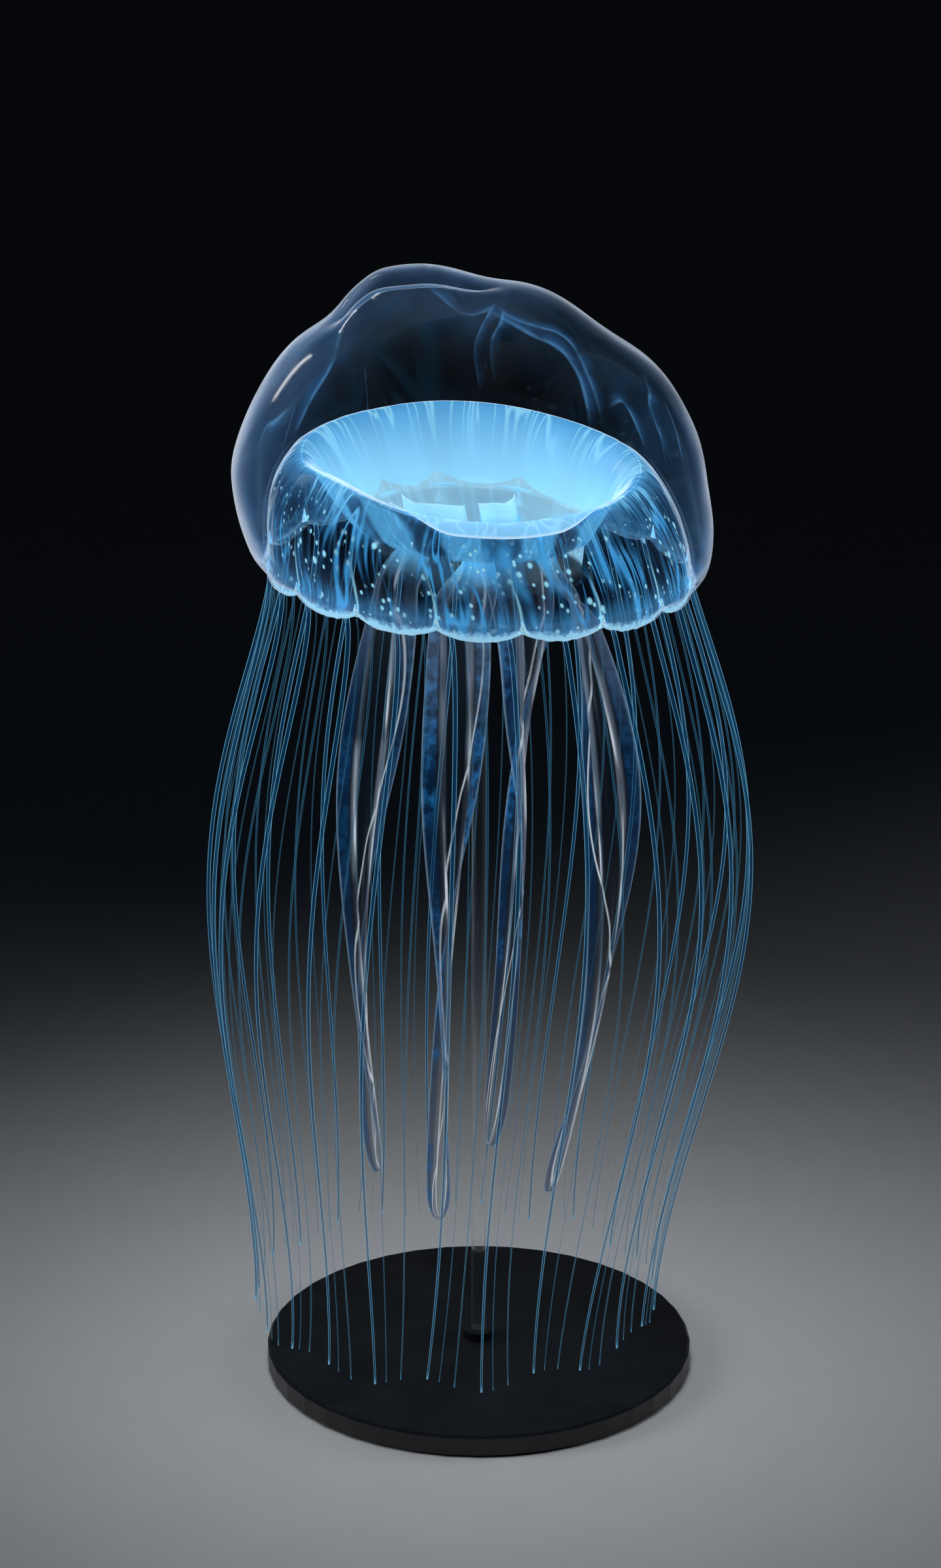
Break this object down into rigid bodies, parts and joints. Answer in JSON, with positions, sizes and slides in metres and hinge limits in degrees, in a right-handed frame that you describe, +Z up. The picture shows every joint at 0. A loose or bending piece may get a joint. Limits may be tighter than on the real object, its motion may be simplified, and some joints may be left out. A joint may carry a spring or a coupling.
{
  "type": "jellyfish model on display stand",
  "caption": "Life-size still model of a jellyfish with a clear domed bell, glowing blue inside, folded oral arms and long fine tentacles, held up by a rod on a round flat base.",
  "frame": {"origin": "centre of the round base's underside, on the surface the model stands on", "axes": "+Z up along the rod, -Y towards the viewer, +X to the viewer's right"},
  "size_m": [0.2871, 0.2851, 0.6056],
  "materials": {
    "clear_jelly": "clear wet jelly, glossy",
    "deep_blue": "translucent deep blue with pale branching canals",
    "sky_blue": "translucent sky blue, faintly glowing",
    "margin": "translucent pale blue edge, faintly glowing",
    "tentacle": "translucent steel blue thread",
    "oral_arm": "translucent grey ribbon with blue mottling",
    "stand_metal": "satin black painted steel",
    "stand_acrylic": "clear polished acrylic rod"
  },
  "bodies": {
    "root": {"bell": "clear_jelly", "subumbrella": "deep_blue", "stomach": "sky_blue", "manubrium": "sky_blue", "lappet_01": "margin", "lappet_02": "margin", "lappet_03": "margin", "lappet_04": "margin", "lappet_05": "margin", "lappet_06": "margin", "lappet_07": "margin", "lappet_08": "margin", "lappet_09": "margin", "lappet_10": "margin", "lappet_11": "margin", "lappet_12": "margin", "lappet_13": "margin", "lappet_14": "margin", "lappet_15": "margin", "lappet_16": "margin", "tentacle_01": "tentacle", "tentacle_02": "tentacle", "tentacle_03": "tentacle", "tentacle_04": "tentacle", "tentacle_05": "tentacle", "tentacle_06": "tentacle", "tentacle_07": "tentacle", "tentacle_08": "tentacle", "tentacle_09": "tentacle", "tentacle_10": "tentacle", "tentacle_11": "tentacle", "tentacle_12": "tentacle", "tentacle_13": "tentacle", "tentacle_14": "tentacle", "tentacle_15": "tentacle", "tentacle_16": "tentacle", "tentacle_17": "tentacle", "tentacle_18": "tentacle", "tentacle_19": "tentacle", "tentacle_20": "tentacle", "tentacle_21": "tentacle", "tentacle_22": "tentacle", "tentacle_23": "tentacle", "tentacle_24": "tentacle", "oral_arm_1_upper": "oral_arm", "oral_arm_1_middle": "oral_arm", "oral_arm_1_lower": "oral_arm", "oral_arm_2_upper": "oral_arm", "oral_arm_2_middle": "oral_arm", "oral_arm_2_lower": "oral_arm", "oral_arm_3_upper": "oral_arm", "oral_arm_3_middle": "oral_arm", "oral_arm_3_lower": "oral_arm", "oral_arm_4_upper": "oral_arm", "oral_arm_4_middle": "oral_arm", "oral_arm_4_lower": "oral_arm", "stand_base": "stand_metal", "stand_rod": "stand_acrylic"}
  },
  "joints": []
}
